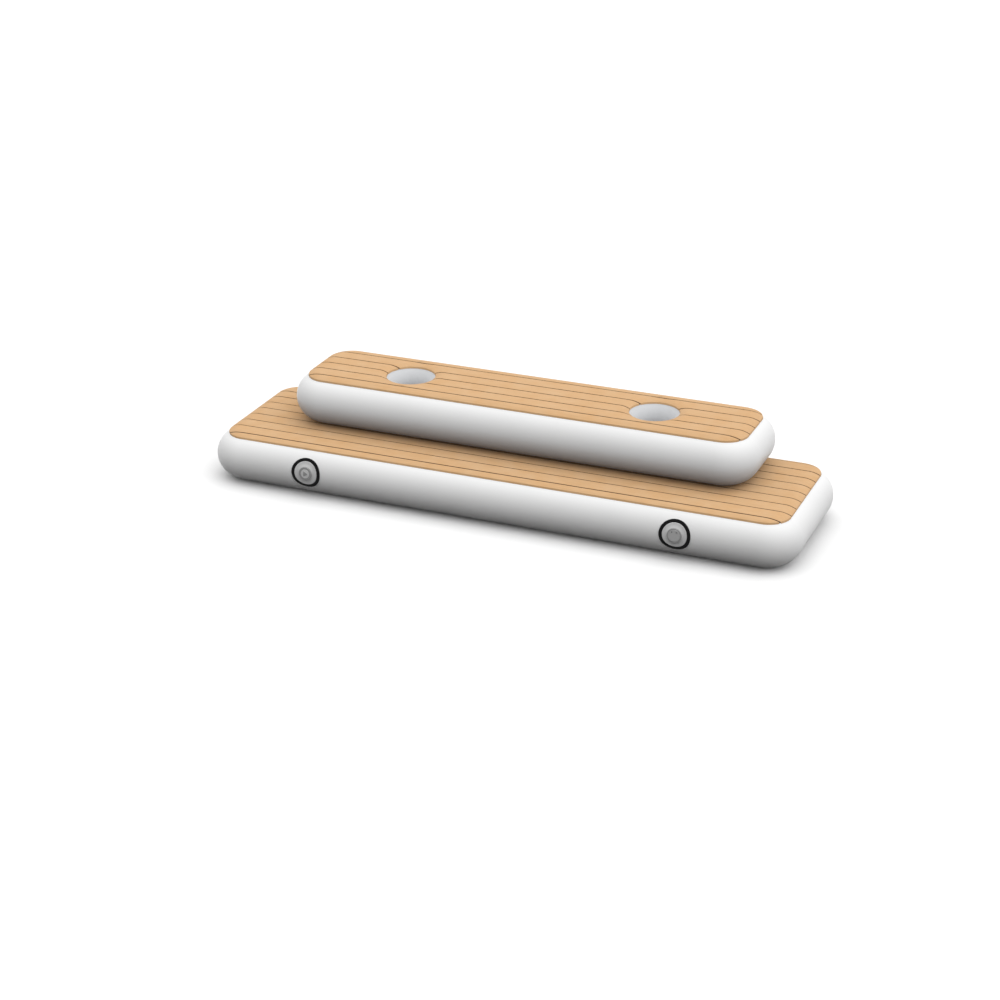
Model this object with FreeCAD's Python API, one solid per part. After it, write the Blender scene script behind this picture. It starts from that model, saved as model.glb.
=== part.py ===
import FreeCAD, Part
import math
import os

# A two-tier inflated transom bumper: a long block with a shorter block on top of it. Each block is
# a drop-stitch air chamber with fully round sides and a foam deck pad over its top and shoulder.
# Sizes are in millimetres. X runs along the bumper, the front rail with its valves faces -Y, and
# the bumper rests on z = 0 with the lower block centred on the origin.

# The two blocks
block_height = 150.0
lower_length = 1784.0
lower_width = 511.0
lower_flat_corner = 31.1
upper_length = 1423.5
upper_width = 341.5
upper_flat_corner = 33.6
upper_shift_x = 8.0
upper_shift_y = 71.3

# Deck pads and the plank lines routed in them
pad_thickness = 4.0
glue_line = 0.2
pad_lip_angle = 61.0
well_lip_angle = 59.5
lip_bevel = 1.5
plank_pitch = 49.1
edge_plank_least = 12.0
lower_line_shift = 0.2
upper_line_shift = -6.2
groove_width = 4.0
groove_depth = 1.6

# Two round wells through the upper block
well_spacing = 756.0
well_throat_radius = 44.0
well_rim_radius = 57.0

# Where the valves sit, and the round emblem that each one has on the rail
valve_spacing = 1120.0
valve_tilt = 5.0
edge_ring_radius = 45.5
edge_ring_thickness = 2.2
edge_ring_round = 0.8
patch_radius = 36.0
patch_thickness = 1.2

# Valve body and clamp nut, the same on all three valves
flange_radius = 20.0
flange_height = 4.5
flange_chamfer = 0.7
barrel_radius = 16.5
barrel_depth = 27.0
barrel_clearance = 0.2
nut_radius = 22.5
nut_depth = 5.5
nut_thickness = 6.0
nut_clearance = 0.1
nut_notch_radius = 2.5
nut_notches = 8
pocket_clearance = 1.0

# Inflation valve: turn cap, sprung stem and seals
cap_radius = 13.4
cap_recess_depth = 3.0
cap_height = 3.6
cap_gap = 0.2
cap_turning_gap = 0.35
cap_skirt_radius = 10.6
cap_skirt_wall = 2.0
cap_skirt_depth = 5.2
cap_seal_radius = 0.9
cap_seal_depth = 2.7
arrow_radius = 9.5
arrow_height = 1.2
arrow_round = 1.4
mouth_radius = 11.9
mouth_depth = 5.0
throat_radius = 10.0
seat_radius = 9.0
seat_thickness = 2.0
hub_radius = 4.8
hub_thickness = 3.0
hub_depth = 16.0
spoke_width = 2.0
spokes = 3
stem_radius = 2.0
stem_clearance = 0.3
button_radius = 5.0
button_thickness = 2.0
button_depth = 5.4
disc_radius = 11.5
disc_thickness = 2.0
seal_thickness = 1.0
seat_gap = 0.1
stem_travel = 6.0
spring_radius = 3.8
spring_wire = 0.7
spring_turns = 5
spring_steps = 10
spring_end_gap = 0.05

# Relief valve: poppet that lifts outward against its spring, adjuster ring and vented cover
relief_flange_radius = 21.0
cover_radius = 17.0
cover_thickness = 2.4
cover_fit = 0.3
cover_recess_depth = 1.8
cover_hollow_radius = 11.0
cover_hollow_depth = 1.2
cover_vent_radius = 2.2
cover_vent_reach = 12.6
cover_vent_angle = 36.0
relief_bore_radius = 12.0
relief_seat_depth = 16.0
relief_seat_radius = 8.0
relief_barrel_depth = 24.0
relief_seal_radius = 10.5
poppet_radius = 10.9
poppet_thickness = 2.0
poppet_stem_radius = 1.8
poppet_lift = 2.5
adjuster_depth = 1.5
adjuster_thickness = 3.0
adjuster_clearance = 0.1
adjuster_vent_radius = 2.4
adjuster_vent_reach = 7.4
adjuster_vents = 4
relief_spring_radius = 5.0

# Sizes that follow from the ones above
chamber_height = block_height - pad_thickness - glue_line
rail_radius = chamber_height / 2
well_reach = well_throat_radius + well_rim_radius
pad_outer = glue_line + pad_thickness
overcut = 5.0


def point(x, z):
    return FreeCAD.Vector(x, 0, z)


def line(start, end):
    return Part.LineSegment(start, end).toShape()


def arc(centre_x, centre_z, radius, side, start, end):
    """An arc in the XZ plane between two angles above the horizontal. side is 1 or -1, for X."""
    angles = [start, (start + end) / 2, end]
    stops = [
        point(
            centre_x + side * radius * math.cos(math.radians(a)),
            centre_z + radius * math.sin(math.radians(a)),
        )
        for a in angles
    ]
    return Part.Arc(*stops).toShape(), stops[0], stops[2]


def face_of(edges):
    return Part.Face(Part.Wire(Part.__sortEdges__(edges)))


def turned(outline):
    """A solid turned about the valve's axis, from points of radius and height above the rail."""
    stops = [point(radius, rail_radius + height) for radius, height in outline]
    face = Part.Face(Part.makePolygon(stops + [stops[0]]))
    return face.revolve(point(0, 0), FreeCAD.Vector(0, 0, 1), 360)


def tube(outer, inner, low, high):
    return turned([(inner, low), (outer, low), (outer, high), (inner, high)])


def rod(radius, low, high):
    return turned([(0, low), (radius, low), (radius, high), (0, high)])


def around(shape, count, first=0.0):
    """Copies of a shape spread evenly round the valve's axis."""
    copies = []
    for i in range(count):
        copy = shape.copy()
        copy.rotate(FreeCAD.Vector(), FreeCAD.Vector(0, 0, 1), first + 360.0 * i / count)
        copies.append(copy)
    return copies


def slab(profile, length, width, corner, low, high):
    """Runs an edge profile round a rectangle with round corners, and fills the middle.

    The profile lies in the XZ plane, with X measured outward from a corner's centre.
    """
    half_x = length / 2 - corner
    half_y = width / 2 - corner
    up = FreeCAD.Vector(0, 0, 1)
    solids = []
    for turn in range(4):
        angle = 90.0 * turn
        sign_x = 1 if turn in (0, 3) else -1
        sign_y = 1 if turn in (0, 1) else -1
        corner_piece = profile.revolve(point(0, 0), up, 90)
        corner_piece.rotate(FreeCAD.Vector(), up, angle)
        corner_piece.translate(FreeCAD.Vector(sign_x * half_x, sign_y * half_y, 0))
        run, reach = (2 * half_y, half_x) if turn % 2 == 0 else (2 * half_x, half_y)
        side_piece = profile.extrude(FreeCAD.Vector(0, run, 0))
        side_piece.translate(FreeCAD.Vector(reach, -run / 2, 0))
        side_piece.rotate(FreeCAD.Vector(), up, angle)
        solids += [corner_piece, side_piece]
    middle = Part.makeBox(
        2 * half_x, 2 * half_y, high - low, FreeCAD.Vector(-half_x, -half_y, low)
    )
    return middle.fuse(solids).removeSplitter()


def chamber_profile(corner):
    centre = corner - rail_radius
    rail, foot, top = arc(centre, rail_radius, rail_radius, 1, -90, 90)
    low_axis = point(0, 0)
    high_axis = point(0, chamber_height)
    return face_of([rail, line(low_axis, foot), line(top, high_axis), line(high_axis, low_axis)])


def rim_profile():
    """Half section of a well: a round rim above and below a straight throat."""
    top_centre = chamber_height - well_rim_radius
    upper, lip, high = arc(well_reach, top_centre, well_rim_radius, -1, 0, 90)
    lower, toe, foot = arc(well_reach, well_rim_radius, well_rim_radius, -1, 0, -90)
    return face_of([upper, lower, line(lip, toe), line(high, foot)])


def sheet_profile(centre_x, centre_z, bend, side, flat_x, inner, outer, lip_angle, bevel):
    """Section of a foam sheet: flat on top, bent down over a round edge, with a bevelled lip."""
    turn_back = math.degrees(bevel / (bend + outer))
    inside, foot, inner_top = arc(centre_x, centre_z, bend + inner, side, lip_angle, 90)
    outside, brow, outer_top = arc(
        centre_x, centre_z, bend + outer, side, lip_angle + turn_back, 90
    )
    edges = [inside, outside]
    if bevel:
        step = bend + outer - bevel
        edge_point = point(
            centre_x + side * step * math.cos(math.radians(lip_angle)),
            centre_z + step * math.sin(math.radians(lip_angle)),
        )
        edges += [line(foot, edge_point), line(edge_point, brow)]
    else:
        edges.append(line(foot, brow))
    if flat_x == centre_x:
        edges.append(line(inner_top, outer_top))
    else:
        inner_end = point(flat_x, inner_top.z)
        outer_end = point(flat_x, outer_top.z)
        edges += [
            line(inner_top, inner_end),
            line(inner_end, outer_end),
            line(outer_end, outer_top),
        ]
    return face_of(edges)


def well_places():
    return [FreeCAD.Vector(side * well_spacing / 2, 0, 0) for side in (-1, 1)]


def fitted_wells(solid, section, low, high):
    """Replaces a disc of the solid round each well by the section turned about the well."""
    for place in well_places():
        disc = Part.makeCylinder(well_reach, high - low, FreeCAD.Vector(0, 0, low))
        ring = section.revolve(point(0, 0), FreeCAD.Vector(0, 0, 1), 360)
        disc.translate(place)
        ring.translate(place)
        solid = solid.cut(disc).fuse(ring)
    return solid.removeSplitter()


def foam_sheet(length, width, corner, wells, inner, outer, lip_spread, bevel):
    """A sheet between two distances from the chamber's skin, over its top and shoulder."""
    edge = sheet_profile(
        corner - rail_radius, rail_radius, rail_radius, 1, 0,
        inner, outer, pad_lip_angle - lip_spread, bevel,
    )
    low = chamber_height + inner
    high = chamber_height + outer
    sheet = slab(edge, length, width, corner, low, high)
    if wells:
        rim = sheet_profile(
            well_reach, chamber_height - well_rim_radius, well_rim_radius, -1, well_reach,
            inner, outer, well_lip_angle - lip_spread, bevel,
        )
        sheet = fitted_wells(sheet, rim, low - overcut, high + overcut)
    return sheet


def deck_pad(length, width, corner, line_shift, wells):
    """The foam deck: planks are marked by straight grooves routed along the bumper."""
    pad = foam_sheet(length, width, corner, wells, glue_line, pad_outer, 0, lip_bevel)
    skin = foam_sheet(
        length, width, corner, wells,
        pad_outer - groove_depth, pad_outer + overcut, overcut, 0,
    )
    lip_inset = rail_radius - (rail_radius + glue_line) * math.cos(math.radians(pad_lip_angle))
    reach = width / 2 - lip_inset - edge_plank_least
    count = int(width / plank_pitch)
    strips = []
    for k in range(-count, count + 1):
        y = line_shift + k * plank_pitch
        if abs(y) <= reach:
            corner_point = FreeCAD.Vector(-length, y - groove_width / 2, 0)
            strips.append(
                Part.makeBox(2 * length, groove_width, 2 * block_height, corner_point)
            )
    return pad.cut(skin.common(Part.makeCompound(strips)))


def air_chamber(length, width, corner, wells):
    chamber = slab(chamber_profile(corner), length, width, corner, 0, chamber_height)
    if wells:
        chamber = fitted_wells(chamber, rim_profile(), -overcut, chamber_height + overcut)
    return chamber


# Every valve piece is made standing on the rail's axis: local Z points outward through the rail's
# skin, local X runs along the rail and local Y points up.
def bent_disc(radius, hole_radius, thickness, bottom=glue_line):
    """A flat disc or ring of rubber or fabric, bent round the rail."""
    long_way = 2 * (radius + overcut)
    start = FreeCAD.Vector(-long_way / 2, 0, 0)
    along = FreeCAD.Vector(1, 0, 0)
    outer = Part.makeCylinder(rail_radius + bottom + thickness, long_way, start, along)
    inner = Part.makeCylinder(rail_radius + bottom, long_way, start, along)
    sheet = outer.cut(inner)
    disc = sheet.common(bent_outline(radius))
    if hole_radius:
        disc = disc.cut(bent_outline(hole_radius))
    return disc


def bent_outline(radius):
    """An oval prism: a bent disc keeps its width and looks lower from in front."""
    low_radius = rail_radius * math.sin(radius / rail_radius)
    oval = Part.Ellipse(FreeCAD.Vector(), radius, low_radius).toShape()
    return Part.Face(Part.Wire(oval)).extrude(FreeCAD.Vector(0, 0, 2 * rail_radius))


def saddle_cut(solid):
    """Shapes the underside of a flange to the patch that it is bonded to."""
    seat = rail_radius + patch_thickness + 2 * glue_line
    long_way = 4 * flange_radius
    start = FreeCAD.Vector(-long_way / 2, 0, 0)
    return solid.cut(Part.makeCylinder(seat, long_way, start, FreeCAD.Vector(1, 0, 0)))


def flange(radius):
    edge = flange_height - flange_chamfer
    disc = turned([
        (0, -radius / 2), (radius, -radius / 2), (radius, edge),
        (radius - flange_chamfer, flange_height), (0, flange_height),
    ])
    return saddle_cut(disc)


def edge_ring():
    """Black rubber ring, bonded over the rim of the patch, with its outer edges rounded."""
    ring = bent_disc(edge_ring_radius, patch_radius, edge_ring_thickness)
    top = rail_radius + glue_line + edge_ring_thickness
    rims = [e for e in ring.Edges if abs(e.BoundBox.ZMax - top) < glue_line]
    return ring.makeFillet(edge_ring_round, rims)


def patch():
    hole = Part.makeCylinder(barrel_radius + barrel_clearance, 2 * rail_radius)
    return bent_disc(patch_radius, 0, patch_thickness).cut(hole)


def clamp_nut():
    nut = tube(nut_radius, barrel_radius + nut_clearance, -nut_depth - nut_thickness, -nut_depth)
    notch = Part.makeCylinder(nut_notch_radius, rail_radius, FreeCAD.Vector(nut_radius, 0, 0))
    for cutter in around(notch, nut_notches):
        nut = nut.cut(cutter)
    return nut


def pocket(depth):
    """Room for a valve's barrel and nut inside the chamber."""
    hole = barrel_radius + barrel_clearance
    wide = nut_radius + pocket_clearance
    nut_end = -nut_depth - nut_thickness - pocket_clearance
    return turned([
        (0, overcut), (hole, overcut), (hole, -nut_depth), (wide, -nut_depth), (wide, nut_end),
        (barrel_radius + pocket_clearance, nut_end), (barrel_radius + pocket_clearance, -depth),
        (0, -depth),
    ])


def coil_spring(radius, low, high):
    """Round wire run round a helix in short straight lengths with mitred joints."""
    wire_radius = spring_wire / 2
    start = rail_radius + low + wire_radius + spring_end_gap
    height = high - low - spring_wire - 2 * spring_end_gap
    steps = spring_turns * spring_steps
    stops = []
    for i in range(steps + 1):
        angle = 2 * math.pi * i / spring_steps
        stops.append(FreeCAD.Vector(
            radius * math.cos(angle), radius * math.sin(angle), start + height * i / steps
        ))
    section = Part.Circle(stops[0], stops[1] - stops[0], wire_radius).toShape()
    path = Part.makePolygon(stops)
    return path.makePipeShell([Part.Wire(section)], True, False, 1)


def fill_body():
    recess = cap_radius + cap_turning_gap
    recess_floor = flange_height - cap_recess_depth
    barrel = rod(barrel_radius, -barrel_depth, flange_height - flange_chamfer)
    bore = turned([
        (0, overcut + flange_height), (recess, overcut + flange_height), (recess, recess_floor),
        (mouth_radius, recess_floor), (mouth_radius, -mouth_depth), (throat_radius, -mouth_depth),
        (throat_radius, seat_thickness - barrel_depth), (seat_radius, seat_thickness - barrel_depth),
        (seat_radius, -barrel_depth - overcut), (0, -barrel_depth - overcut),
    ])
    body = flange(flange_radius).fuse(barrel).cut(bore)
    hub_low = -hub_depth - hub_thickness
    hub = tube(hub_radius, stem_radius + stem_clearance, hub_low, -hub_depth)
    spoke = Part.makeBox(
        throat_radius + nut_clearance - stem_radius - spoke_width / 2, spoke_width, hub_thickness,
        FreeCAD.Vector(stem_radius + spoke_width / 2, -spoke_width / 2, rail_radius + hub_low),
    )
    return body.fuse([hub] + around(spoke, spokes, 90.0)).removeSplitter()


def fill_stem():
    """Button, rod and valve disc in one: pushed inward, it lets air past the seat."""
    disc_top = -barrel_depth - seat_gap - seal_thickness
    return turned([
        (0, -button_depth), (button_radius, -button_depth),
        (button_radius, -button_depth - button_thickness),
        (stem_radius, -button_depth - button_thickness), (stem_radius, disc_top),
        (disc_radius, disc_top), (disc_radius, disc_top - disc_thickness),
        (0, disc_top - disc_thickness),
    ])


def fill_seal():
    top = -barrel_depth - seat_gap
    return tube(disc_radius, stem_radius, top - seal_thickness, top)


def fill_cap():
    floor = flange_height - cap_recess_depth + cap_gap
    top = floor + cap_height
    skirt_low = floor - cap_skirt_depth
    groove_middle = floor - cap_seal_depth
    groove_radius = mouth_radius - nut_clearance - 2 * cap_seal_radius
    cap = turned([
        (0, floor), (cap_skirt_radius - cap_skirt_wall, floor),
        (cap_skirt_radius - cap_skirt_wall, skirt_low), (cap_skirt_radius, skirt_low),
        (cap_skirt_radius, groove_middle - cap_seal_radius),
        (groove_radius, groove_middle - cap_seal_radius),
        (groove_radius, groove_middle + cap_seal_radius),
        (cap_skirt_radius, groove_middle + cap_seal_radius), (cap_skirt_radius, floor),
        (cap_radius, floor), (cap_radius, top - flange_chamfer),
        (cap_radius - flange_chamfer, top), (0, top),
    ])
    corners = [
        FreeCAD.Vector(
            arrow_radius * math.cos(math.radians(a)), arrow_radius * math.sin(math.radians(a)),
            rail_radius + top,
        )
        for a in (0, 120, 240)
    ]
    arrow = Part.Face(Part.makePolygon(corners + [corners[0]]))
    arrow = arrow.extrude(FreeCAD.Vector(0, 0, arrow_height))
    uprights = [e for e in arrow.Edges if abs(e.Vertexes[0].Z - e.Vertexes[-1].Z) > arrow_height / 2]
    return cap.fuse(arrow.makeFillet(arrow_round, uprights))


def fill_cap_seal():
    middle = flange_height - cap_recess_depth + cap_gap - cap_seal_depth
    major = mouth_radius - nut_clearance - cap_seal_radius
    centre = FreeCAD.Vector(0, 0, rail_radius + middle)
    return Part.makeTorus(major, cap_seal_radius, centre)


def inflation_valve():
    """All the pieces of one inflation valve, by name."""
    return {
        "ring": edge_ring(),
        "patch": patch(),
        "body": fill_body(),
        "nut": clamp_nut(),
        "stem": fill_stem(),
        "seal": fill_seal(),
        "spring": coil_spring(spring_radius, -hub_depth, -button_depth - button_thickness),
        "cap": fill_cap(),
        "cap_seal": fill_cap_seal(),
    }


def inflation_pocket():
    disc_low = barrel_depth + seat_gap + seal_thickness + disc_thickness
    return pocket(disc_low + stem_travel + pocket_clearance)


def relief_body():
    recess = cover_radius + cover_fit
    recess_floor = flange_height - cover_recess_depth
    top = overcut + flange_height
    low = -relief_barrel_depth - overcut
    barrel = rod(barrel_radius, -relief_barrel_depth, recess_floor)
    bore = turned([
        (0, top), (recess, top), (recess, recess_floor), (relief_bore_radius, recess_floor),
        (relief_bore_radius, -relief_seat_depth), (relief_seat_radius, -relief_seat_depth),
        (relief_seat_radius, low), (0, low),
    ])
    return flange(relief_flange_radius).fuse(barrel).cut(bore).removeSplitter()


def relief_seal():
    low = -relief_seat_depth + seat_gap
    return tube(relief_seal_radius, poppet_stem_radius + spoke_width, low, low + seal_thickness)


def relief_poppet():
    disc_low = -relief_seat_depth + seat_gap + seal_thickness
    disc_top = disc_low + poppet_thickness
    under_cover = flange_height - cover_recess_depth + cap_gap + cover_hollow_depth
    stem_top = under_cover - stem_clearance - poppet_lift
    neck = poppet_stem_radius + spoke_width
    return turned([
        (0, -relief_seat_depth + seat_gap), (neck, -relief_seat_depth + seat_gap),
        (neck, disc_low), (poppet_radius, disc_low), (poppet_radius, disc_top),
        (poppet_stem_radius, disc_top), (poppet_stem_radius, stem_top), (0, stem_top),
    ])


def relief_adjuster():
    """Screwed ring that sets the spring, with a hole for the poppet's stem and air holes."""
    ring = tube(
        relief_bore_radius - adjuster_clearance, poppet_stem_radius + stem_clearance,
        -adjuster_depth - adjuster_thickness, -adjuster_depth,
    )
    hole = Part.makeCylinder(
        adjuster_vent_radius, 2 * rail_radius, FreeCAD.Vector(adjuster_vent_reach, 0, 0)
    )
    for cutter in around(hole, adjuster_vents, 45.0):
        ring = ring.cut(cutter)
    return ring


def relief_cover():
    """Push-in cover with two small air notches near its top."""
    low = flange_height - cover_recess_depth + cap_gap
    top = low + cover_thickness
    cover = turned([
        (0, low + cover_hollow_depth), (cover_hollow_radius, low + cover_hollow_depth),
        (cover_hollow_radius, low), (cover_radius, low), (cover_radius, top - flange_chamfer),
        (cover_radius - flange_chamfer, top), (0, top),
    ])
    notch = Part.makeCylinder(
        cover_vent_radius, 2 * rail_radius, FreeCAD.Vector(cover_vent_reach, 0, 0)
    )
    for angle in (90 - cover_vent_angle, 90 + cover_vent_angle):
        cutter = notch.copy()
        cutter.rotate(FreeCAD.Vector(), FreeCAD.Vector(0, 0, 1), angle)
        cover = cover.cut(cutter)
    return cover


def relief_valve():
    """All the pieces of the relief valve, by name."""
    disc_top = -relief_seat_depth + seat_gap + seal_thickness + poppet_thickness
    return {
        "ring": edge_ring(),
        "patch": patch(),
        "body": relief_body(),
        "nut": clamp_nut(),
        "poppet": relief_poppet(),
        "seal": relief_seal(),
        "spring": coil_spring(
            relief_spring_radius, disc_top, -adjuster_depth - adjuster_thickness
        ),
        "adjuster": relief_adjuster(),
        "cover": relief_cover(),
    }


def front_place(x):
    """On the lower front rail: outward is -Y, tipped up a little round the rail."""
    rotation = FreeCAD.Rotation(FreeCAD.Vector(1, 0, 0), 90 - valve_tilt)
    return FreeCAD.Placement(
        FreeCAD.Vector(x, rail_radius - lower_width / 2, rail_radius), rotation
    )


def end_place():
    """On the left end of the upper block: outward is -X, with local Y up."""
    rotation = FreeCAD.Rotation(
        FreeCAD.Vector(0, -1, 0), FreeCAD.Vector(0, 0, 1), FreeCAD.Vector(-1, 0, 0), "ZYX"
    )
    x = upper_shift_x - upper_length / 2 + rail_radius
    return FreeCAD.Placement(
        FreeCAD.Vector(x, upper_shift_y, block_height + rail_radius), rotation
    )


def placed(shape, placement):
    copy = shape.copy()
    copy.Placement = placement.multiply(copy.Placement)
    return copy


def bumper():
    """Every piece of the bumper in its place, by node name."""
    lower_corner = rail_radius + lower_flat_corner
    upper_corner = rail_radius + upper_flat_corner
    lift = FreeCAD.Vector(upper_shift_x, upper_shift_y, block_height)
    left, right, end = front_place(-valve_spacing / 2), front_place(valve_spacing / 2), end_place()

    lower = air_chamber(lower_length, lower_width, lower_corner, False)
    lower = lower.cut(placed(inflation_pocket(), left))
    lower = lower.cut(placed(pocket(relief_barrel_depth + pocket_clearance), right))
    upper = air_chamber(upper_length, upper_width, upper_corner, True)
    upper.translate(lift)
    upper = upper.cut(placed(inflation_pocket(), end))
    upper_pad = deck_pad(upper_length, upper_width, upper_corner, upper_line_shift, True)
    upper_pad.translate(lift)

    nodes = {
        "lower_chamber": lower,
        "lower_deck_pad": deck_pad(
            lower_length, lower_width, lower_corner, lower_line_shift, False
        ),
        "upper_chamber": upper,
        "upper_deck_pad": upper_pad,
    }
    for prefix, valve, place in (
        ("fill", inflation_valve(), left),
        ("relief", relief_valve(), right),
        ("upper_fill", inflation_valve(), end),
    ):
        for name, shape in valve.items():
            nodes[prefix + "_" + name] = placed(shape, place)
    return nodes


os.makedirs("parts", exist_ok=True)
for node, shape in bumper().items():
    shape.exportStep("parts/" + node + ".step")
    print(node, len(shape.Solids), "solid", shape.isValid(), round(shape.Volume / 1000, 2), "cm3")
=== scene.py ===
import math

import bmesh
import bpy
from mathutils import Matrix, Vector


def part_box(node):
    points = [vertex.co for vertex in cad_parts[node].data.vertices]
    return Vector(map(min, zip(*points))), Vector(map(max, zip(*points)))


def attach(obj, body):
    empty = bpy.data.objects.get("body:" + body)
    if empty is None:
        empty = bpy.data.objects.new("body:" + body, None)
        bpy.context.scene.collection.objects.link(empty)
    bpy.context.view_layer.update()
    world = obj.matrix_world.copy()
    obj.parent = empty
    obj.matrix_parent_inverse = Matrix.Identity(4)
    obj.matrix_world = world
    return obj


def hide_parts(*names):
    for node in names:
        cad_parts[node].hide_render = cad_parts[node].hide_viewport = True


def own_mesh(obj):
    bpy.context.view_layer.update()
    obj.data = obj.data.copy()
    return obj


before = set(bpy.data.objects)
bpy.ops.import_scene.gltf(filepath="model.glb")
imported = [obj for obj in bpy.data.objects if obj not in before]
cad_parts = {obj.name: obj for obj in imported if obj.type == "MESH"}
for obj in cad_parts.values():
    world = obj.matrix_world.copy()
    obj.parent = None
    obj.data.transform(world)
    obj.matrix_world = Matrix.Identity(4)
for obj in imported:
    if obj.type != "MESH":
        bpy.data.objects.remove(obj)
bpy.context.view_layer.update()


# The two air chambers. Each is a bag of white PVC-coated drop-stitch fabric, blown up hard: flat
# above and below, with fully round sides, and in the upper one two wells with rolled rims.
# The skins are glued and sealed, so the only openings are the pockets that the valves sit in.
CORNER_STEPS = 30
WELL_STEPS = 96
LOWER_CORNER = 0.0311
UPPER_CORNER = 0.0336
MERGE_DISTANCE = 0.00003
SHARP_ANGLE = 35
lower_low, lower_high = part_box("lower_chamber")
upper_low, upper_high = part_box("upper_chamber")
rail = (lower_high.z - lower_low.z) / 2
well_throat = 0.044
well_rim = 0.057
well_spacing = 0.756


def block_sizes(low, high, flat_corner, wells):
    """What both trees have to know about a block: its flat top's outline and its wells."""
    return {
        "Flat Length": high.x - low.x - 2 * rail,
        "Flat Width": high.y - low.y - 2 * rail,
        "Flat Corner": flat_corner,
        "Rail Radius": rail,
        "Middle": (low + high) / 2,
        "Well Count": wells,
        "Well Spacing": well_spacing,
        "Well Throat": well_throat,
        "Well Rim": well_rim,
    }


blocks = {
    "lower": block_sizes(lower_low, lower_high, LOWER_CORNER, 0),
    "upper": block_sizes(upper_low, upper_high, UPPER_CORNER, 2),
}


def linear(code):
    """An sRGB hex colour as linear red, green, blue and alpha."""
    parts = [int(code[i:i + 2], 16) / 255 for i in (0, 2, 4)]
    return [c / 12.92 if c <= 0.04045 else ((c + 0.055) / 1.055) ** 2.4 for c in parts] + [1.0]


def add(tree, kind, inputs=None, **settings):
    """Adds a node with its settings; an input is a value, a socket or a list of sockets."""
    made = tree.nodes.new(kind)
    for key, value in settings.items():
        setattr(made, key, value)
    for key, value in (inputs or {}).items():
        sockets = value if isinstance(value, list) else [value]
        if isinstance(sockets[0], bpy.types.NodeSocket):
            for socket in sockets:
                tree.links.new(socket, made.inputs[key])
        else:
            made.inputs[key].default_value = value
    return made


def new_material(name, colour, roughness, **sockets):
    """A material with its shader's own values set; patterns are linked to it afterwards."""
    material = bpy.data.materials.new(name)
    material.use_nodes = True
    shader = material.node_tree.nodes["Principled BSDF"]
    shader.inputs["Base Color"].default_value = linear(colour)
    shader.inputs["Roughness"].default_value = roughness
    for key, value in sockets.items():
        shader.inputs[key.replace("_", " ")].default_value = value
    return material, material.node_tree, shader


def new_shape_tree(name, sizes):
    """A shape tree with a named input for each of these sizes."""
    tree = bpy.data.node_groups.new(name, "GeometryNodeTree")
    kinds = {float: "NodeSocketFloat", int: "NodeSocketInt", Vector: "NodeSocketVector",
             bpy.types.Material: "NodeSocketMaterial"}
    for size, value in sizes.items():
        tree.interface.new_socket(size, in_out="INPUT", socket_type=kinds[type(value)])
    tree.interface.new_socket("Shape", in_out="OUTPUT", socket_type="NodeSocketGeometry")
    return tree, add(tree, "NodeGroupInput").outputs


def worked(tree, operation, *values):
    """The result of a sum in a tree; each value is a number or a socket."""
    inputs = dict(enumerate(values))
    return add(tree, "ShaderNodeMath", inputs, operation=operation).outputs[0]


def outlines(tree, size):
    """The flat top's outline and the circles round its wells, where their rims start."""
    frame_line = add(tree, "GeometryNodeCurvePrimitiveQuadrilateral", {
        "Width": size["Flat Length"], "Height": size["Flat Width"],
    })
    block = add(tree, "GeometryNodeFilletCurve", {
        "Curve": frame_line.outputs[0], "Count": CORNER_STEPS, "Radius": size["Flat Corner"],
    }, mode="POLY").outputs[0]
    circle = add(tree, "GeometryNodeCurvePrimitiveCircle", {
        "Resolution": WELL_STEPS,
        "Radius": worked(tree, "ADD", size["Well Throat"], size["Well Rim"]),
    })
    first = add(tree, "ShaderNodeCombineXYZ", {
        "X": worked(tree, "MULTIPLY", size["Well Spacing"], -0.5),
    })
    step = add(tree, "ShaderNodeCombineXYZ", {"X": size["Well Spacing"]})
    places = add(tree, "GeometryNodeMeshLine", {
        "Count": size["Well Count"], "Start Location": first.outputs[0], "Offset": step.outputs[0],
    })
    copies = add(tree, "GeometryNodeInstanceOnPoints", {
        "Points": places.outputs[0], "Instance": circle.outputs[0],
    })
    wells = add(tree, "GeometryNodeRealizeInstances", {"Geometry": copies.outputs[0]}).outputs[0]
    return block, wells


def flat(tree, block, wells, height):
    """The flat between the outline and the wells, at a height."""
    joined = add(tree, "GeometryNodeJoinGeometry", {"Geometry": [block, wells]})
    filled = add(tree, "GeometryNodeFillCurve", {"Curve": joined.outputs[0]})
    place = add(tree, "ShaderNodeCombineXYZ", {"Z": height})
    return add(tree, "GeometryNodeTransform", {
        "Geometry": filled.outputs[0], "Translation": place.outputs[0],
    }).outputs[0]


def closed_shape(tree, shapes, middle):
    """Joins surfaces into one closed shape, at its place."""
    joined = add(tree, "GeometryNodeJoinGeometry", {"Geometry": shapes})
    merged = add(tree, "GeometryNodeMergeByDistance", {
        "Geometry": joined.outputs[0], "Distance": MERGE_DISTANCE,
    })
    return add(tree, "GeometryNodeTransform", {
        "Geometry": merged.outputs[0], "Translation": middle,
    }).outputs[0]


def end_tree(tree, shape, material, faces=True):
    """Ends a shape tree with its material on these faces."""
    real = add(tree, "GeometryNodeRealizeInstances", {"Geometry": shape})
    dressed = add(tree, "GeometryNodeSetMaterial", {
        "Geometry": real.outputs[0], "Selection": faces, "Material": material,
    })
    add(tree, "NodeGroupOutput", {"Shape": dressed.outputs[0]})


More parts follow.
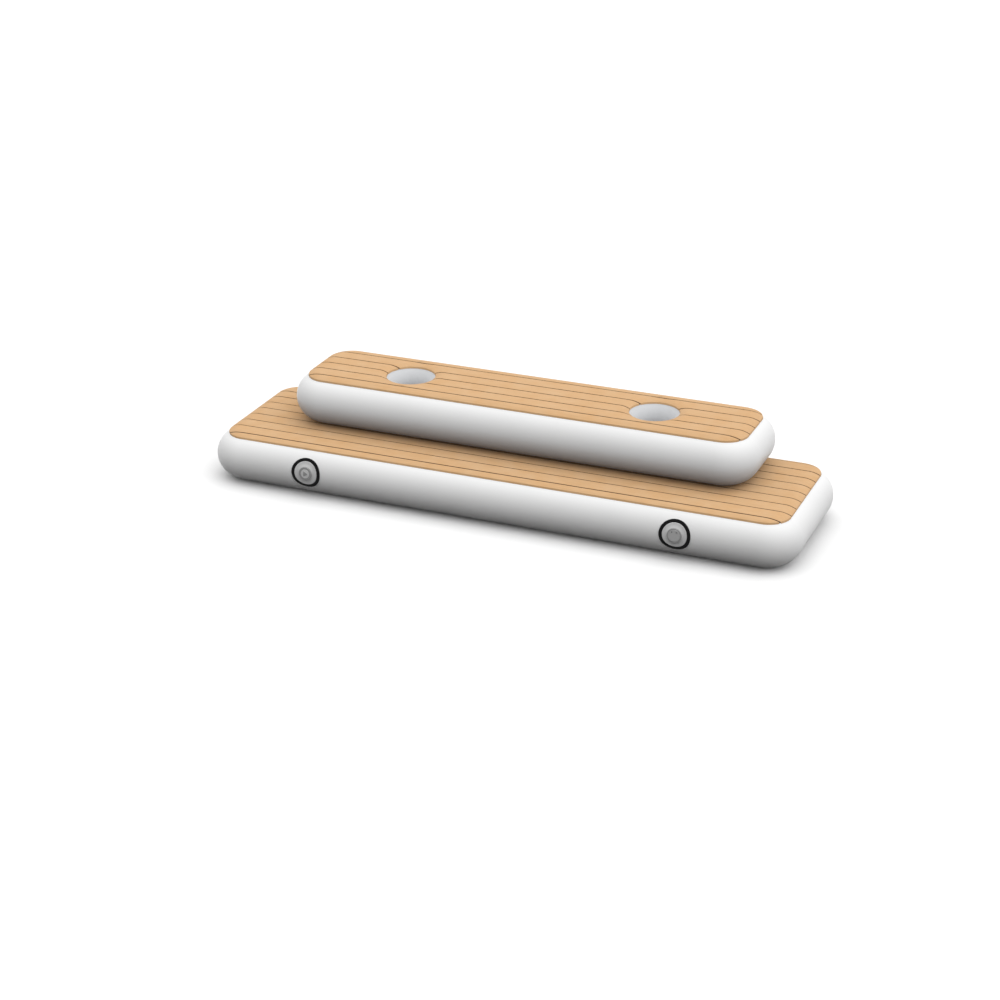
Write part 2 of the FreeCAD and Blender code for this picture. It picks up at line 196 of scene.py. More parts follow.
def smoothed(data, sharp_angle=SHARP_ANGLE):
    """Points a mesh's faces outwards and smooths it, apart from its true edges."""
    mesh = bmesh.new()
    mesh.from_mesh(data)
    bmesh.ops.recalc_face_normals(mesh, faces=mesh.faces)
    mesh.to_mesh(data)
    mesh.free()
    data.shade_smooth()
    data.set_sharp_from_angle(angle=math.radians(sharp_angle))


def finished(mesh, name, sharp_angle=SHARP_ANGLE):
    """Turns a built mesh into an object."""
    data = bpy.data.meshes.new(name)
    mesh.to_mesh(data)
    mesh.free()
    smoothed(data, sharp_angle)
    piece = bpy.data.objects.new(name, data)
    bpy.context.scene.collection.objects.link(piece)
    return piece


def kept_shape(piece):
    """Turns what an object's modifiers make into its own plain mesh."""
    made = piece.evaluated_get(bpy.context.evaluated_depsgraph_get())
    shape = bpy.data.meshes.new_from_object(made)
    piece.modifiers.clear()
    piece.data = shape
    smoothed(shape)


def grown(name, tree, sizes):
    """Runs a shape tree with these sizes."""
    piece = finished(bmesh.new(), name)
    maker = piece.modifiers.new("maker", "NODES")
    maker.node_group = tree
    for socket in tree.interface.items_tree:
        if socket.in_out == "INPUT":
            maker[socket.identifier] = sizes[socket.name]
    kept_shape(piece)
    return piece


# PVC-coated polyester, calendered: a smooth satin white with a faint emboss. The emboss is drawn
# 0.8 mm across, about twice the real one, so that it shows
EMBOSS = 0.0008
pvc, tree, shader = new_material("white_pvc_coated_fabric", "f6f6f6", 0.42)
spot = add(tree, "ShaderNodeTexCoord").outputs["Object"]
tone = add(tree, "ShaderNodeTexNoise", {"Vector": spot, "Scale": 9.0, "Detail": 3.0})
shade = add(tree, "ShaderNodeMix", {
    0: tone.outputs["Fac"], 6: linear("f4f4f4"), 7: linear("f9f9f9"),
}, data_type="RGBA")
tree.links.new(shade.outputs[2], shader.inputs["Base Color"])
emboss = add(tree, "ShaderNodeTexVoronoi", {"Vector": spot, "Scale": 1 / EMBOSS})
relief = add(tree, "ShaderNodeBump", {
    "Height": emboss.outputs["Distance"], "Strength": 0.12, "Distance": 0.0001,
})
tree.links.new(relief.outputs["Normal"], shader.inputs["Normal"])

# The wells' walls get the same fabric in pale grey: a painted shade for the darkness deep in the
# wells, meeting the white under the deck's lip
well_shade_grey, tree, shader = new_material("pale_grey_lining_fabric", "cecfd1", 0.45)
spot = add(tree, "ShaderNodeTexCoord").outputs["Object"]
emboss = add(tree, "ShaderNodeTexVoronoi", {"Vector": spot, "Scale": 1 / EMBOSS})
shade = add(tree, "ShaderNodeMix", {
    0: emboss.outputs["Distance"], 6: linear("cbccce"), 7: linear("d2d3d5"),
}, data_type="RGBA")
tree.links.new(shade.outputs[2], shader.inputs["Base Color"])
relief = add(tree, "ShaderNodeBump", {
    "Height": emboss.outputs["Distance"], "Strength": 0.12, "Distance": 0.0001,
})
tree.links.new(relief.outputs["Normal"], shader.inputs["Normal"])

# The chamber's tree: half-round sides carried round the outline, and in each well a wall with a
# quarter-round rim above and below.
RAIL_STEPS = 37
RIM_STEPS = 19
chamber_sizes = {**blocks["upper"], "Material": pvc, "Lining": well_shade_grey}
chamber_tree, size = new_shape_tree("air_chamber", chamber_sizes)
block, wells = outlines(chamber_tree, size)
half_round = add(chamber_tree, "GeometryNodeCurveArc", {
    "Resolution": RAIL_STEPS, "Radius": size["Rail Radius"], "Start Angle": -math.pi / 2,
    "Sweep Angle": math.pi,
})
rim_round = add(chamber_tree, "GeometryNodeCurveArc", {
    "Resolution": RIM_STEPS, "Radius": size["Well Rim"], "Start Angle": math.pi,
    "Sweep Angle": math.pi / 2,
})
rim_drop = worked(chamber_tree, "SUBTRACT", size["Well Rim"], size["Rail Radius"])
throat_in = worked(chamber_tree, "MULTIPLY", size["Well Rim"], -1.0)
throat_high = add(chamber_tree, "ShaderNodeCombineXYZ", {"X": throat_in, "Y": rim_drop})
throat_low = add(chamber_tree, "ShaderNodeVectorMath", {
    0: throat_high.outputs[0], 1: (1, -1, 1),
}, operation="MULTIPLY")
rim_place = add(chamber_tree, "ShaderNodeCombineXYZ", {"Y": rim_drop})
high_rim = add(chamber_tree, "GeometryNodeTransform", {
    "Geometry": rim_round.outputs[0], "Translation": rim_place.outputs[0],
})
low_rim = add(chamber_tree, "GeometryNodeTransform", {
    "Geometry": high_rim.outputs[0], "Scale": (1, -1, 1),
})
throat = add(chamber_tree, "GeometryNodeCurvePrimitiveLine", {
    "Start": throat_high.outputs[0], "End": throat_low.outputs["Vector"],
})
wall = add(chamber_tree, "GeometryNodeJoinGeometry", {
    "Geometry": [high_rim.outputs[0], throat.outputs[0], low_rim.outputs[0]],
})
sides = add(chamber_tree, "GeometryNodeCurveToMesh", {
    "Curve": block, "Profile Curve": half_round.outputs[0],
})
walls = add(chamber_tree, "GeometryNodeCurveToMesh", {
    "Curve": wells, "Profile Curve": wall.outputs[0],
})
# The wells' walls take the pale grey painted shade in place of the white
shaded_walls = add(chamber_tree, "GeometryNodeSetMaterial", {
    "Geometry": walls.outputs[0], "Material": size["Lining"],
})
under = worked(chamber_tree, "MULTIPLY", size["Rail Radius"], -1.0)
closed = closed_shape(chamber_tree, [
    sides.outputs[0], shaded_walls.outputs[0], flat(chamber_tree, block, wells, size["Rail Radius"]),
    flat(chamber_tree, block, wells, under),
], size["Middle"])
well_shade_faces = add(chamber_tree, "GeometryNodeMaterialSelection", {"Material": size["Lining"]})
white_faces = add(chamber_tree, "FunctionNodeBooleanMath", {
    0: well_shade_faces.outputs[0],
}, operation="NOT")
end_tree(chamber_tree, closed, size["Material"], white_faces.outputs[0])


# Where each valve stands: on the rail's axis, with local Z pointing out through the skin, local X
# along the rail and local Y up. The two on the front rail are tipped up a little.
VALVE_TILT = math.radians(5.0)


def middle(node):
    """The middle of a node's box."""
    low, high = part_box(node)
    return (low + high) / 2


front_turn = Matrix.Rotation(math.pi / 2 - VALVE_TILT, 4, "X")
end_turn = Matrix(((0, 0, -1, 0), (-1, 0, 0, 0), (0, 1, 0, 0), (0, 0, 0, 1)))
valve_places = {
    "fill": Matrix.Translation((middle("fill_ring").x, lower_low.y + rail, rail)) @ front_turn,
    "relief": Matrix.Translation((middle("relief_ring").x, lower_low.y + rail, rail)) @ front_turn,
    "upper_fill": Matrix.Translation(
        (upper_low.x + rail, middle("upper_fill_ring").y, upper_low.z + rail)
    ) @ end_turn,
}
# The pocket behind each valve, as radius and depth below the skin
pocket_outline = [(0, -0.005), (0.0167, -0.005), (0.0167, 0.0055), (0.0235, 0.0055),
                  (0.0235, 0.0125), (0.0175, 0.0125), (0.0175, 0.0372), (0, 0.0372)]
POCKET_STEPS = 48
VALVE_SPAN = 0.05
POINT_DOUBLES = 1e-6


def sweep_round(mesh, section, steps, place):
    """Turns a section of radius and height about a valve's axis."""
    rows = []
    for turn in [math.tau * i / steps for i in range(steps)]:
        spots = [(r * math.cos(turn), r * math.sin(turn), h) for r, h in section]
        rows.append([mesh.verts.new(place @ Vector(spot)) for spot in spots])
    for row, following in zip(rows, rows[1:] + rows[:1]):
        for i in range(len(section) - 1):
            mesh.faces.new((row[i], following[i], following[i + 1], row[i + 1]))
    bmesh.ops.remove_doubles(mesh, verts=mesh.verts, dist=POINT_DOUBLES)


def cut_pocket(piece, place):
    """Cuts a valve's pocket, after two cuts across the rail that keep its faces short there."""
    mesh = bmesh.new()
    mesh.from_mesh(piece.data)
    along = place.to_3x3() @ Vector((1, 0, 0))
    for side in (-1, 1):
        bmesh.ops.bisect_plane(
            mesh, geom=mesh.verts[:] + mesh.edges[:] + mesh.faces[:],
            plane_co=place.translation + along * side * VALVE_SPAN, plane_no=along,
        )
    mesh.to_mesh(piece.data)
    mesh.free()
    tool = bmesh.new()
    section = [(radius, rail - depth) for radius, depth in pocket_outline]
    sweep_round(tool, section, POCKET_STEPS, place)
    cutter = finished(tool, "pocket_cutter")
    cut = piece.modifiers.new("pocket", "BOOLEAN")
    cut.object = cutter
    cut.solver = "EXACT"
    kept_shape(piece)
    bpy.data.objects.remove(cutter)


# The white fabric, and the pale grey painted shade for the wells' walls
fabrics = {"Material": pvc, "Lining": well_shade_grey}
lower_skin = grown("lower_skin", chamber_tree, {**blocks["lower"], **fabrics})
upper_skin = grown("upper_skin", chamber_tree, {**blocks["upper"], **fabrics})
cut_pocket(lower_skin, valve_places["fill"])
cut_pocket(lower_skin, valve_places["relief"])
cut_pocket(upper_skin, valve_places["upper_fill"])
for piece, node in ((lower_skin, "lower_chamber"), (upper_skin, "upper_chamber")):
    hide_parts(node)
    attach(piece, "bumper")


# The deck pads. Each is one sheet of two-colour closed-cell EVA foam, glued over the top of its
# chamber and down round the shoulder. The plank lines are routed through the thin tan layer into
# the brown one below, which shows in them; round the edge the tan layer covers the whole lip.
GLUE = 0.0002
PAD = 0.004
TAN_SKIN = 0.0007
GROOVE = 0.004
GROOVE_DEPTH = 0.0016
LIP_BEVEL = 0.0034
LIP_COVER = 0.003
LIP_ANGLE = 61
WELL_LIP_ANGLE = 59.5
PLANK_PITCH = 0.0491
PLANK_SHIFTS = {"lower": 0.0002, "upper": -0.0062}
LINES_EACH_WAY = 6
EDGE_PLANK_LEAST = 0.012
BAR_LENGTH = 3.0
BAR_HEIGHT = 1.0
WRAP_STEPS = 15
LAYER_BOND = 0.00005

# EVA foam, sanded: a dry matt tan with soft mottling some 45 mm across, and a grain along the
# planks, drawn 2.4 mm wide, coarser than the sander's own scratches, so that it shows
tan, tree, shader = new_material("tan_sanded_eva_foam", "d5ac7d", 0.85, Sheen_Weight=0.08)
shader.inputs["Specular IOR Level"].default_value = 0.25
spot = add(tree, "ShaderNodeTexCoord").outputs["Object"]
clouds = add(tree, "ShaderNodeTexNoise", {"Vector": spot, "Scale": 22.0, "Detail": 4.0})
stretch = add(tree, "ShaderNodeMapping", {"Vector": spot, "Scale": (18.0, 420.0, 420.0)})
grain = add(tree, "ShaderNodeTexNoise", {
    "Vector": stretch.outputs["Vector"], "Scale": 1.0, "Detail": 3.0,
})
mottle = add(tree, "ShaderNodeMix", {
    0: clouds.outputs["Fac"], 6: linear("d3a470"), 7: linear("d8b48b"),
}, data_type="RGBA")
fine = add(tree, "ShaderNodeMapRange", {
    "Value": grain.outputs["Fac"], "From Min": 0.3, "From Max": 0.7, "To Min": 0.93,
    "To Max": 1.05,
})
tinted = add(tree, "ShaderNodeVectorMath", {
    0: mottle.outputs[2], 1: fine.outputs["Result"],
}, operation="MULTIPLY")
tree.links.new(tinted.outputs["Vector"], shader.inputs["Base Color"])
relief = add(tree, "ShaderNodeBump", {
    "Height": grain.outputs["Fac"], "Strength": 0.25, "Distance": 0.0003,
})
tree.links.new(relief.outputs["Normal"], shader.inputs["Normal"])

# The lower layer of the same foam, dyed brown, with the router's small chatter marks, some 2 mm
# apart, which make it look darker and rougher than the tan
brown, tree, shader = new_material("brown_eva_foam", "5a3d27", 0.9)
spot = add(tree, "ShaderNodeTexCoord").outputs["Object"]
chatter = add(tree, "ShaderNodeTexNoise", {"Vector": spot, "Scale": 600.0, "Detail": 2.0})
shade = add(tree, "ShaderNodeMix", {
    0: chatter.outputs["Fac"], 6: linear("4c3220"), 7: linear("67482f"),
}, data_type="RGBA")
tree.links.new(shade.outputs[2], shader.inputs["Base Color"])

# The foam's tree: a layer between two heights above the skin, with its lip, carried round the
# outline and the wells, and then cut by a row of bars where the lines are routed.
layer_sizes = {
    **blocks["upper"], "Lip Angle": 1.0, "Well Lip Angle": 1.0, "Lip Bevel": 0.0,
    "Lip Cover": 0.0, "Lip Inner": 0.0, "Inner": 0.0, "Outer": 0.0, "Line Width": 0.0,
    "Line Count": 0, "Line Pitch": 0.0, "First Line": 0.0, "Material": tan,
}
foam_tree, size = new_shape_tree("deck_foam", layer_sizes)


def foam_section(tree, size, bend, lip):
    """Section of a layer bent over a round of radius bend, from the top down to its lip."""
    inner = worked(tree, "ADD", bend, size["Inner"])
    outer = worked(tree, "ADD", bend, size["Outer"])
    least = worked(tree, "ADD", bend, size["Lip Inner"])
    edge = worked(tree, "SUBTRACT", outer, size["Lip Bevel"])
    covered = worked(tree, "ADD", lip, worked(tree, "DIVIDE", size["Lip Cover"], outer))
    slant = worked(tree, "DIVIDE", size["Lip Bevel"], outer)
    bevelled = worked(tree, "ADD", lip, slant)
    bevel_end = {
        "X": worked(tree, "MULTIPLY", outer, worked(tree, "COSINE", slant)),
        "Y": worked(tree, "MULTIPLY", outer, worked(tree, "SINE", slant)),
    }
    curves = []
    for radius, start in ((inner, covered), (outer, bevelled)):
        arc = add(tree, "GeometryNodeCurveArc", {
            "Resolution": WRAP_STEPS, "Radius": radius, "Start Angle": start,
            "Sweep Angle": worked(tree, "SUBTRACT", math.pi / 2, start),
        })
        curves.append(arc.outputs[0])
    turns = {"lip": lip, "covered": covered}
    corners = {
        "least": {"X": least}, "inner": {"X": inner}, "edge": {"X": edge},
        "bevelled": bevel_end,
    }
    ends = {key: add(tree, "ShaderNodeCombineXYZ", spot).outputs[0]
            for key, spot in corners.items()}
    for start, end, turn in (("least", "edge", "lip"), ("edge", "bevelled", "lip"),
                             ("least", "inner", "covered")):
        line = add(tree, "GeometryNodeCurvePrimitiveLine", {"Start": ends[start], "End": ends[end]})
        turned = add(tree, "ShaderNodeCombineXYZ", {"Z": turns[turn]})
        rotated = add(tree, "GeometryNodeTransform", {
            "Geometry": line.outputs[0], "Rotation": turned.outputs[0],
        })
        curves.append(rotated.outputs[0])
    below = add(tree, "GeometryNodeCurveArc", {
        "Resolution": 2, "Radius": least, "Start Angle": lip,
        "Sweep Angle": worked(tree, "SUBTRACT", covered, lip),
    })
    joined = add(tree, "GeometryNodeJoinGeometry", {"Geometry": curves + [below.outputs[0]]})
    return joined.outputs[0]


block, wells = outlines(foam_tree, size)
shoulder = foam_section(foam_tree, size, size["Rail Radius"], size["Lip Angle"])
rim = foam_section(foam_tree, size, size["Well Rim"], size["Well Lip Angle"])
rim_rise = worked(foam_tree, "SUBTRACT", size["Rail Radius"], size["Well Rim"])
rim_place = add(foam_tree, "ShaderNodeCombineXYZ", {"Y": rim_rise})
rim_turned = add(foam_tree, "GeometryNodeTransform", {
    "Geometry": rim, "Translation": rim_place.outputs[0], "Scale": (-1, 1, 1),
})
# Curve to Mesh carries a section with its Y pointing down, so the sections are turned over first
turned_over = [
    add(foam_tree, "GeometryNodeTransform", {"Geometry": one, "Scale": (1, -1, 1)}).outputs[0]
    for one in (shoulder, rim_turned.outputs[0])
]
surfaces = [
    add(foam_tree, "GeometryNodeCurveToMesh", {"Curve": line, "Profile Curve": one}).outputs[0]
    for line, one in zip((block, wells), turned_over)
]
for key in ("Inner", "Outer"):
    height = worked(foam_tree, "ADD", size["Rail Radius"], size[key])
    surfaces.append(flat(foam_tree, block, wells, height))
bar_size = add(foam_tree, "ShaderNodeCombineXYZ", {
    "X": BAR_LENGTH, "Y": size["Line Width"], "Z": BAR_HEIGHT,
})
bar = add(foam_tree, "GeometryNodeMeshCube", {"Size": bar_size.outputs[0]})
first_place = add(foam_tree, "ShaderNodeCombineXYZ", {"Y": size["First Line"]})
pitch = add(foam_tree, "ShaderNodeCombineXYZ", {"Y": size["Line Pitch"]})
bar_places = add(foam_tree, "GeometryNodeMeshLine", {
    "Count": size["Line Count"], "Start Location": first_place.outputs[0],
    "Offset": pitch.outputs[0],
})
bars = add(foam_tree, "GeometryNodeInstanceOnPoints", {
    "Points": bar_places.outputs[0], "Instance": bar.outputs[0],
})
all_bars = add(foam_tree, "GeometryNodeRealizeInstances", {"Geometry": bars.outputs[0]})
routed = add(foam_tree, "GeometryNodeMeshBoolean", {
    "Mesh 1": closed_shape(foam_tree, surfaces, size["Middle"]), "Mesh 2": [all_bars.outputs[0]],
}, operation="DIFFERENCE", solver="EXACT")
end_tree(foam_tree, routed.outputs[0], size["Material"])


def plank_lines(low, high, shift):
    """Middle of each routed line, across the block."""
    centre = (low.y + high.y) / 2
    lip_inset = rail - (rail + GLUE) * math.cos(math.radians(LIP_ANGLE))
    reach = (high.y - low.y) / 2 - lip_inset - EDGE_PLANK_LEAST
    steps = range(-LINES_EACH_WAY, LINES_EACH_WAY + 1)
    offsets = [shift + k * PLANK_PITCH for k in steps]
    return [centre + y for y in offsets if abs(y) <= reach]


def lip_turn(angle, bend, inset):
    """A lip's angle, moved in from the edge of the pad by so much foam."""
    return math.radians(angle) + inset / (bend + GLUE + PAD)


# The layers, from the skin up: the brown sheet, its strips between the lines, and the tan face
top = GLUE + PAD
inside = LIP_COVER + LAYER_BOND
layers = {
    "base": {"Inner": GLUE, "Outer": top - GROOVE_DEPTH, "Material": brown, "Inset": inside},
    "strips": {
        "Inner": top - GROOVE_DEPTH, "Outer": top - TAN_SKIN - LAYER_BOND, "Material": brown,
        "Inset": inside,
    },
    "planks": {"Inner": top - TAN_SKIN, "Outer": top, "Material": tan, "Inset": 0.0},
}
for deck, low, high in (("lower", lower_low, lower_high), ("upper", upper_low, upper_high)):
    lines = plank_lines(low, high, PLANK_SHIFTS[deck])
    for layer, facts in layers.items():
        tan_face = layer == "planks"
        piece = grown(deck + "_deck_" + layer, foam_tree, {
            **blocks[deck], **facts,
            "Lip Angle": lip_turn(LIP_ANGLE, rail, facts["Inset"]),
            "Well Lip Angle": lip_turn(WELL_LIP_ANGLE, well_rim, facts["Inset"]),
            "Lip Bevel": LIP_BEVEL if tan_face else 0.0,
            "Lip Cover": LIP_COVER if tan_face else 0.0,
            "Lip Inner": GLUE if tan_face else facts["Inner"],
            "Line Width": GROOVE, "Line Pitch": PLANK_PITCH, "First Line": lines[0],
            "Line Count": 0 if layer == "base" else len(lines),
        })
        # The tan face throws no orange light back on the white rails, which stay neutral
        piece.visible_diffuse = not tan_face
        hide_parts(deck + "_deck_pad")
        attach(piece, "bumper")


# The edge ring and patch of each valve. The ring is moulded black rubber and the patch is pale
# grey coated fabric with a welded rim; both are cut flat and bent round the rail when glued on.
RING_STEPS = 120
RING_SHARP = 50
# Their sections, as radius and height above the skin
ring_section = [(0.0360, 0.0002), (0.0360, 0.0018), (0.0364, 0.0023), (0.0371, 0.0024),
                (0.0398, 0.0024), (0.0404, 0.0021), (0.0410, 0.0021), (0.0416, 0.0024),
                (0.0442, 0.0024), (0.0451, 0.0021), (0.0455, 0.0015), (0.0455, 0.0002)]
patch_section = [(0.0167, 0.0002), (0.0167, 0.0014), (0.0240, 0.0014), (0.0332, 0.0014),
                 (0.0337, 0.0018), (0.0352, 0.0018), (0.0357, 0.0015), (0.0359, 0.0011),
                 (0.0359, 0.0002)]


def bent_ring(name, section, place):
    """Turns a section of radius and height about the valve, bent round the rail."""
    mesh = bmesh.new()
    sweep_round(mesh, section + section[:1], RING_STEPS, Matrix())
    for corner in mesh.verts:
        lean, reach = corner.co.y / rail, rail + corner.co.z
        corner.co = place @ Vector((
            corner.co.x, reach * math.sin(lean), reach * math.cos(lean)
        ))
    return finished(mesh, name, RING_SHARP)


# Moulded EPDM rubber: near black and matt, with a fine bloom that keeps it from shining
rubber, tree, shader = new_material("black_epdm_rubber", "0f0f10", 0.7)
shader.inputs["Specular IOR Level"].default_value = 0.12
spot = add(tree, "ShaderNodeTexCoord").outputs["Object"]
bloom = add(tree, "ShaderNodeTexNoise", {"Vector": spot, "Scale": 350.0, "Detail": 3.0})
rough = add(tree, "ShaderNodeMapRange", {
    "Value": bloom.outputs["Fac"], "To Min": 0.6, "To Max": 0.8,
})
tree.links.new(rough.outputs["Result"], shader.inputs["Roughness"])
relief = add(tree, "ShaderNodeBump", {
    "Height": bloom.outputs["Fac"], "Strength": 0.2, "Distance": 0.0002,
})
tree.links.new(relief.outputs["Normal"], shader.inputs["Normal"])

# The same coated fabric as the chambers, tinted pale grey
grey_pvc, tree, shader = new_material("grey_pvc_coated_fabric", "dcdcdc", 0.42)
spot = add(tree, "ShaderNodeTexCoord").outputs["Object"]
emboss = add(tree, "ShaderNodeTexVoronoi", {"Vector": spot, "Scale": 1 / EMBOSS})
tone = add(tree, "ShaderNodeMix", {
    0: emboss.outputs["Distance"], 6: linear("d8d8d8"), 7: linear("e0e0e0"),
}, data_type="RGBA")
tree.links.new(tone.outputs[2], shader.inputs["Base Color"])
relief = add(tree, "ShaderNodeBump", {
    "Height": emboss.outputs["Distance"], "Strength": 0.12, "Distance": 0.0001,
})
tree.links.new(relief.outputs["Normal"], shader.inputs["Normal"])

for valve, place in valve_places.items():
    for part, section, material, slot in (
        ("ring", ring_section, rubber, "black_rubber"),
        ("patch", patch_section, grey_pvc, "grey_patch"),
    ):
        piece = bent_ring(valve + "_bent_" + part, section, place)
        piece.data.materials.append(material)
        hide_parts(valve + "_" + part)
        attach(piece, "bumper")


# The moulded nylon pieces of the valves: flanged bodies, turn caps, relief cover, nuts and stems.
# Nylon from a spark-eroded mould has a fine even grain that keeps it satin.
CAP_TOP = 0.0053
ARROW_FOOT = 0.0003
GLOSS_SPREAD = 0.08


def moulded(name, colour, roughness, grain_size):
    """A moulded finish, whose gloss and relief follow the mould's grain."""
    material, tree, shader = new_material(name, colour, roughness)
    spot = add(tree, "ShaderNodeTexCoord").outputs["Object"]
    grain = add(tree, "ShaderNodeTexNoise", {
        "Vector": spot, "Scale": 1 / grain_size, "Detail": 2.0,
    })
    rough = add(tree, "ShaderNodeMapRange", {
        "Value": grain.outputs["Fac"], "To Min": roughness - GLOSS_SPREAD,
        "To Max": roughness + GLOSS_SPREAD,
    })
    tree.links.new(rough.outputs["Result"], shader.inputs["Roughness"])
    relief = add(tree, "ShaderNodeBump", {
        "Height": grain.outputs["Fac"], "Strength": 0.15, "Distance": 0.0001,
    })
    tree.links.new(relief.outputs["Normal"], shader.inputs["Normal"])
    return material


def capped(valve):
    """The cap's pale nylon, with its raised triangle printed mid grey."""
    material = moulded(valve + "_cap_nylon", "dadada", 0.45, 0.0006)
    tree = material.node_tree
    shader = tree.nodes["Principled BSDF"]
    back = valve_places[valve].inverted()
    spot = add(tree, "ShaderNodeTexCoord").outputs["Object"]
    own = add(tree, "ShaderNodeMapping", {
        "Vector": spot, "Location": back.translation, "Rotation": back.to_euler(),
    })
    height = add(tree, "ShaderNodeSeparateXYZ", {"Vector": own.outputs["Vector"]})
    raised = add(tree, "ShaderNodeMath", {
        0: height.outputs["Z"], 1: rail + CAP_TOP + ARROW_FOOT,
    }, operation="GREATER_THAN")
    print_tone = add(tree, "ShaderNodeMix", {
        0: raised.outputs[0], 6: linear("dadada"), 7: linear("9c9c9c"),
    }, data_type="RGBA")
    tree.links.new(print_tone.outputs[2], shader.inputs["Base Color"])
    return material


finishes = {
    "body": moulded("grey_moulded_nylon", "9e9e9e", 0.5, 0.0006),
    "cover": moulded("mid_grey_moulded_nylon", "bababa", 0.5, 0.0006),
    "nut": moulded("black_glass_filled_nylon", "232324", 0.55, 0.0005),
    "seal": moulded("black_nitrile_rubber", "18181a", 0.65, 0.0004),
}
for part in ("stem", "poppet", "adjuster"):
    finishes[part] = finishes["nut"]
finishes["cap_seal"] = finishes["seal"]

for node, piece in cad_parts.items():
    part = node.replace("upper_fill_", "").replace("fill_", "").replace("relief_", "")
    if part == "cap":
        finish = capped(node.replace("_cap", ""))
    else:
        finish = finishes.get(part)
    if finish:
        piece.data.materials.clear()
        piece.data.materials.append(finish)


# The valves' springs: round stainless wire wound open. Each sits on the seat that stays still.
WIRE_DOUBLES = 1e-7
WIRE_SHARP = 60
# Each spring's still seat, out from the skin, its length, its travel and its joint
spring_seats = {
    "fill": (-0.016, 0.0086, 0.006, "fill_stem_push"),
    "relief": (-0.0045, 0.0084, 0.0025, "relief_poppet_lift"),
    "upper_fill": (-0.016, 0.0086, 0.006, "upper_fill_stem_push"),
}

# Drawn stainless wire: bright, with its gloss broken by fine die lines
wire, tree, shader = new_material("drawn_stainless_wire", "c8c8ca", 0.3, Metallic=1.0)
spot = add(tree, "ShaderNodeTexCoord").outputs["Object"]
lines = add(tree, "ShaderNodeTexNoise", {"Vector": spot, "Scale": 900.0, "Detail": 2.0})
rough = add(tree, "ShaderNodeMapRange", {
    "Value": lines.outputs["Fac"], "To Min": 0.2, "To Max": 0.4,
})
tree.links.new(rough.outputs["Result"], shader.inputs["Roughness"])

for valve, (seat, length, travel, joint) in spring_seats.items():
    coil = bmesh.new()
    coil.from_mesh(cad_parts[valve + "_spring"].data)
    bmesh.ops.remove_doubles(coil, verts=coil.verts, dist=WIRE_DOUBLES)
    piece = finished(coil, valve + "_coil", WIRE_SHARP)
    piece.data.materials.append(wire)
    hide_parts(valve + "_spring")
    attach(piece, "bumper")
    place = valve_places[valve]
    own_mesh(piece)


# A plain pale floor, as under a large white tent. What sees it straight or in a reflection sees
# it pale, and it throws hardly any light back up, so the rails grow dark towards their undersides.
FLOOR_SIZE = 60.0
floor_mesh = bmesh.new()
bmesh.ops.create_grid(floor_mesh, x_segments=1, y_segments=1, size=FLOOR_SIZE / 2)
floor = finished(floor_mesh, "floor")
paint, tree, shader = new_material("pale_floor_paint", "ffffff", 0.95)
shader.inputs["Specular IOR Level"].default_value = 0.0
dark = add(tree, "ShaderNodeBsdfDiffuse", {"Color": linear("2e2c2a")})
seen = add(tree, "ShaderNodeLightPath")
shown = add(tree, "ShaderNodeMath", {
    0: seen.outputs["Is Camera Ray"], 1: seen.outputs["Is Glossy Ray"],
}, operation="MAXIMUM")
both = add(tree, "ShaderNodeMixShader", {
    0: shown.outputs[0], 1: dark.outputs[0], 2: shader.outputs[0],
})
tree.links.new(both.outputs[0], tree.nodes["Material Output"].inputs["Surface"])
floor.data.materials.append(paint)

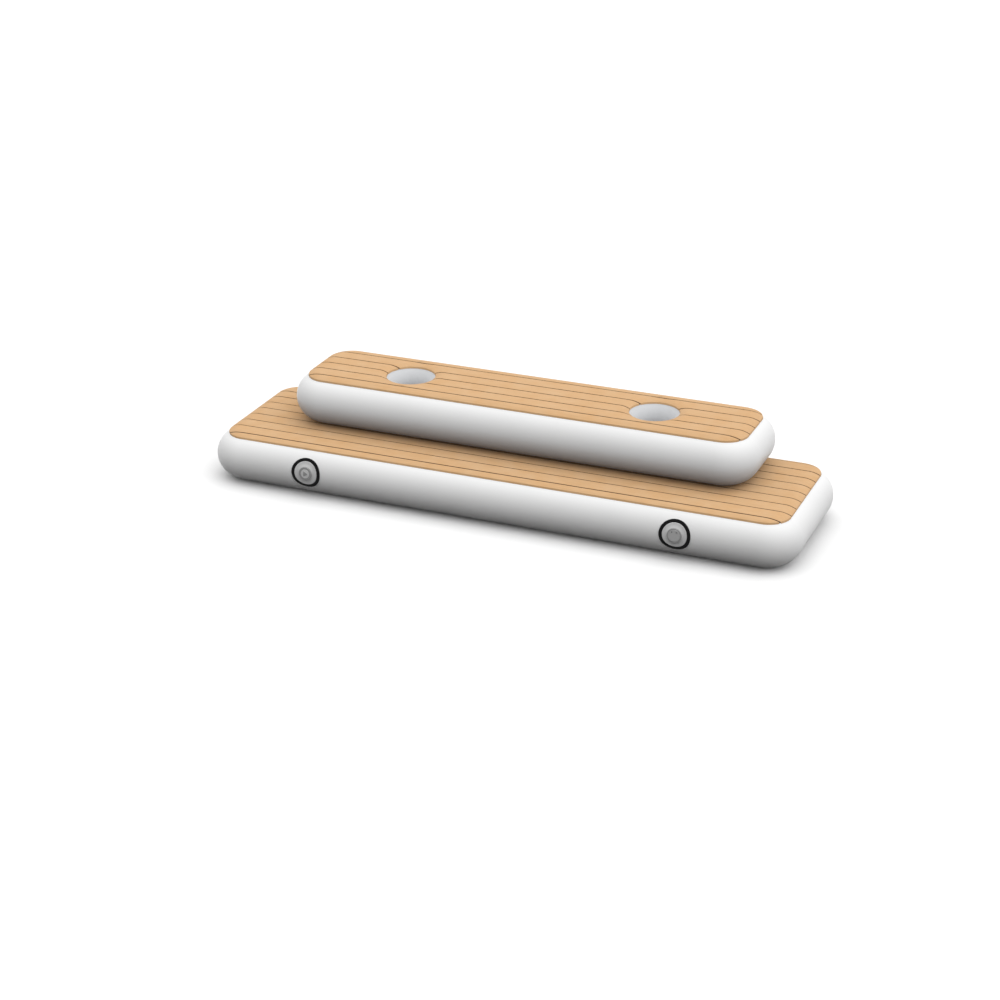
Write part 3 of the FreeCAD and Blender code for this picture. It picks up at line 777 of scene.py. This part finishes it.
# The tent glows towards these directions, each with its spread and strength. What sees it straight
# or in a reflection sees plain white
TENT_PATCHES = [((0, 0, 1), 1, 0.95), ((0, 0, 1), 4, 0.42), ((0.87, 0, 0.5), 2, 0.88),
                ((-0.87, 0, 0.5), 2, 0.42), ((0.35, -0.45, 0.82), 6, 0.14)]
world = bpy.data.worlds.new("tent")
bpy.context.scene.world = world
world.use_nodes = True
tree = world.node_tree
way = add(tree, "ShaderNodeTexCoord").outputs["Generated"]
glow = 0.0
for towards, spread, strength in TENT_PATCHES:
    facing = add(tree, "ShaderNodeVectorMath", {0: way, 1: towards}, operation="DOT_PRODUCT")
    lit = add(tree, "ShaderNodeMath", {
        0: facing.outputs["Value"], 1: 0.0,
    }, operation="MAXIMUM")
    patch = add(tree, "ShaderNodeMath", {0: lit.outputs[0], 1: spread}, operation="POWER")
    glow = add(tree, "ShaderNodeMath", {
        0: patch.outputs[0], 1: strength, 2: glow,
    }, operation="MULTIPLY_ADD").outputs[0]
seen = add(tree, "ShaderNodeLightPath")
mirrored = add(tree, "ShaderNodeMath", {
    0: seen.outputs["Is Glossy Ray"], 1: seen.outputs["Is Transmission Ray"],
}, operation="MAXIMUM")
shown = add(tree, "ShaderNodeMath", {
    0: seen.outputs["Is Camera Ray"], 1: mirrored.outputs[0],
}, operation="MAXIMUM")
level = add(tree, "ShaderNodeMix", {0: shown.outputs[0], 2: glow, 3: 1.0})
tree.nodes["Background"].inputs["Color"].default_value = (1, 1, 1, 1)
tree.links.new(level.outputs[0], tree.nodes["Background"].inputs["Strength"])


# The camera. It stands 22.6 degrees to the right of straight before the front rail and looks down
# at 24.2 degrees, from 6.4 m away through a long lens.
AZIMUTH, ELEVATION, ROLL = math.radians(22.573), math.radians(24.218), math.radians(-0.203)
DISTANCE = 6.4325
SENSOR_WIDTH = 36.0
FOCAL_LENGTH = 79.897
TARGET = Vector((-0.0360, -0.0532, -0.0004))
lens = bpy.data.cameras.new("camera")
lens.sensor_width = SENSOR_WIDTH
lens.lens = FOCAL_LENGTH
camera = bpy.data.objects.new("camera", lens)
bpy.context.scene.collection.objects.link(camera)
back = Vector((
    math.sin(AZIMUTH) * math.cos(ELEVATION), -math.cos(AZIMUTH) * math.cos(ELEVATION),
    math.sin(ELEVATION),
))
level_way = Vector((math.cos(AZIMUTH), math.sin(AZIMUTH), 0))
rise = back.cross(level_way)
right = level_way * math.cos(ROLL) + rise * math.sin(ROLL)
up = rise * math.cos(ROLL) - level_way * math.sin(ROLL)
camera.matrix_world = Matrix.Translation(TARGET + back * DISTANCE) @ Matrix(
    (right, up, back)
).transposed().to_4x4()
bpy.context.scene.camera = camera
bpy.context.scene.view_settings.view_transform = "Standard"
